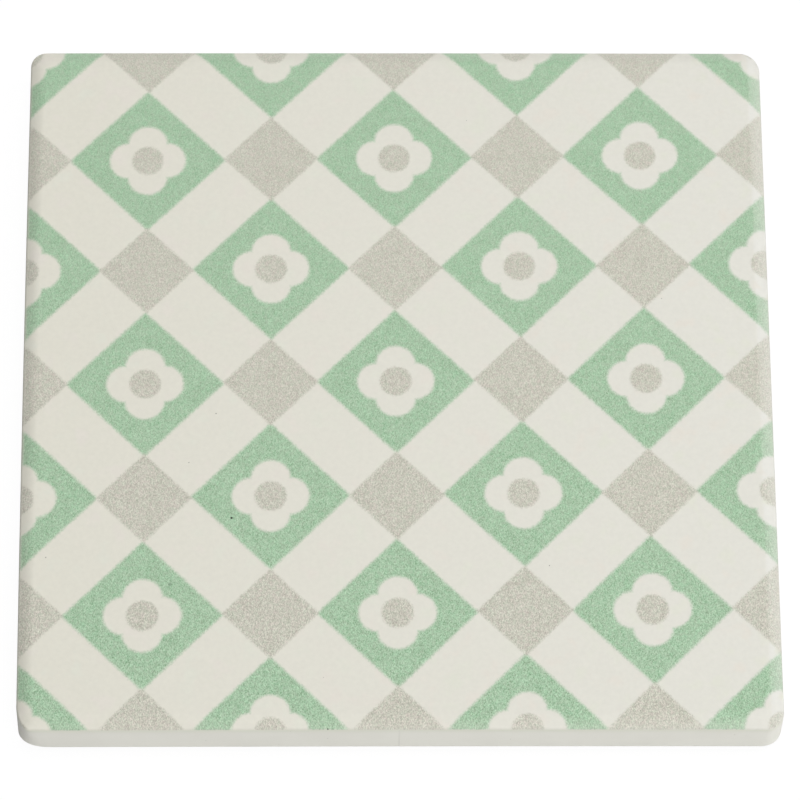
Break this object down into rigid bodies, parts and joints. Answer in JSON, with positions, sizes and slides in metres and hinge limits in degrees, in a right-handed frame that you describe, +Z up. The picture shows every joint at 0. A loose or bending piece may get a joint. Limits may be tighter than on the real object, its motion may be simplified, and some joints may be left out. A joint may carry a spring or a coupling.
{
  "type": "ceramic coaster",
  "caption": "Square ceramic coaster with bevelled edges, a printed lattice of diamonds and flowers on its face, and a cork pad glued underneath.",
  "frame": {"origin": "middle of the cork pad's underside, which rests on the table", "axes": "+Z up out of the printed face, -Y towards the front edge in the picture, +X to its right"},
  "size_m": [0.1, 0.1, 0.0086],
  "materials": {
    "cork": "matte",
    "adhesive": "satin",
    "ceramic_body": "matte",
    "printed_coat": "matte"
  },
  "bodies": {
    "root": {"cork_pad": "cork", "adhesive_film": "adhesive", "ceramic_tile": "ceramic_body", "print_coat": "printed_coat"}
  },
  "joints": []
}
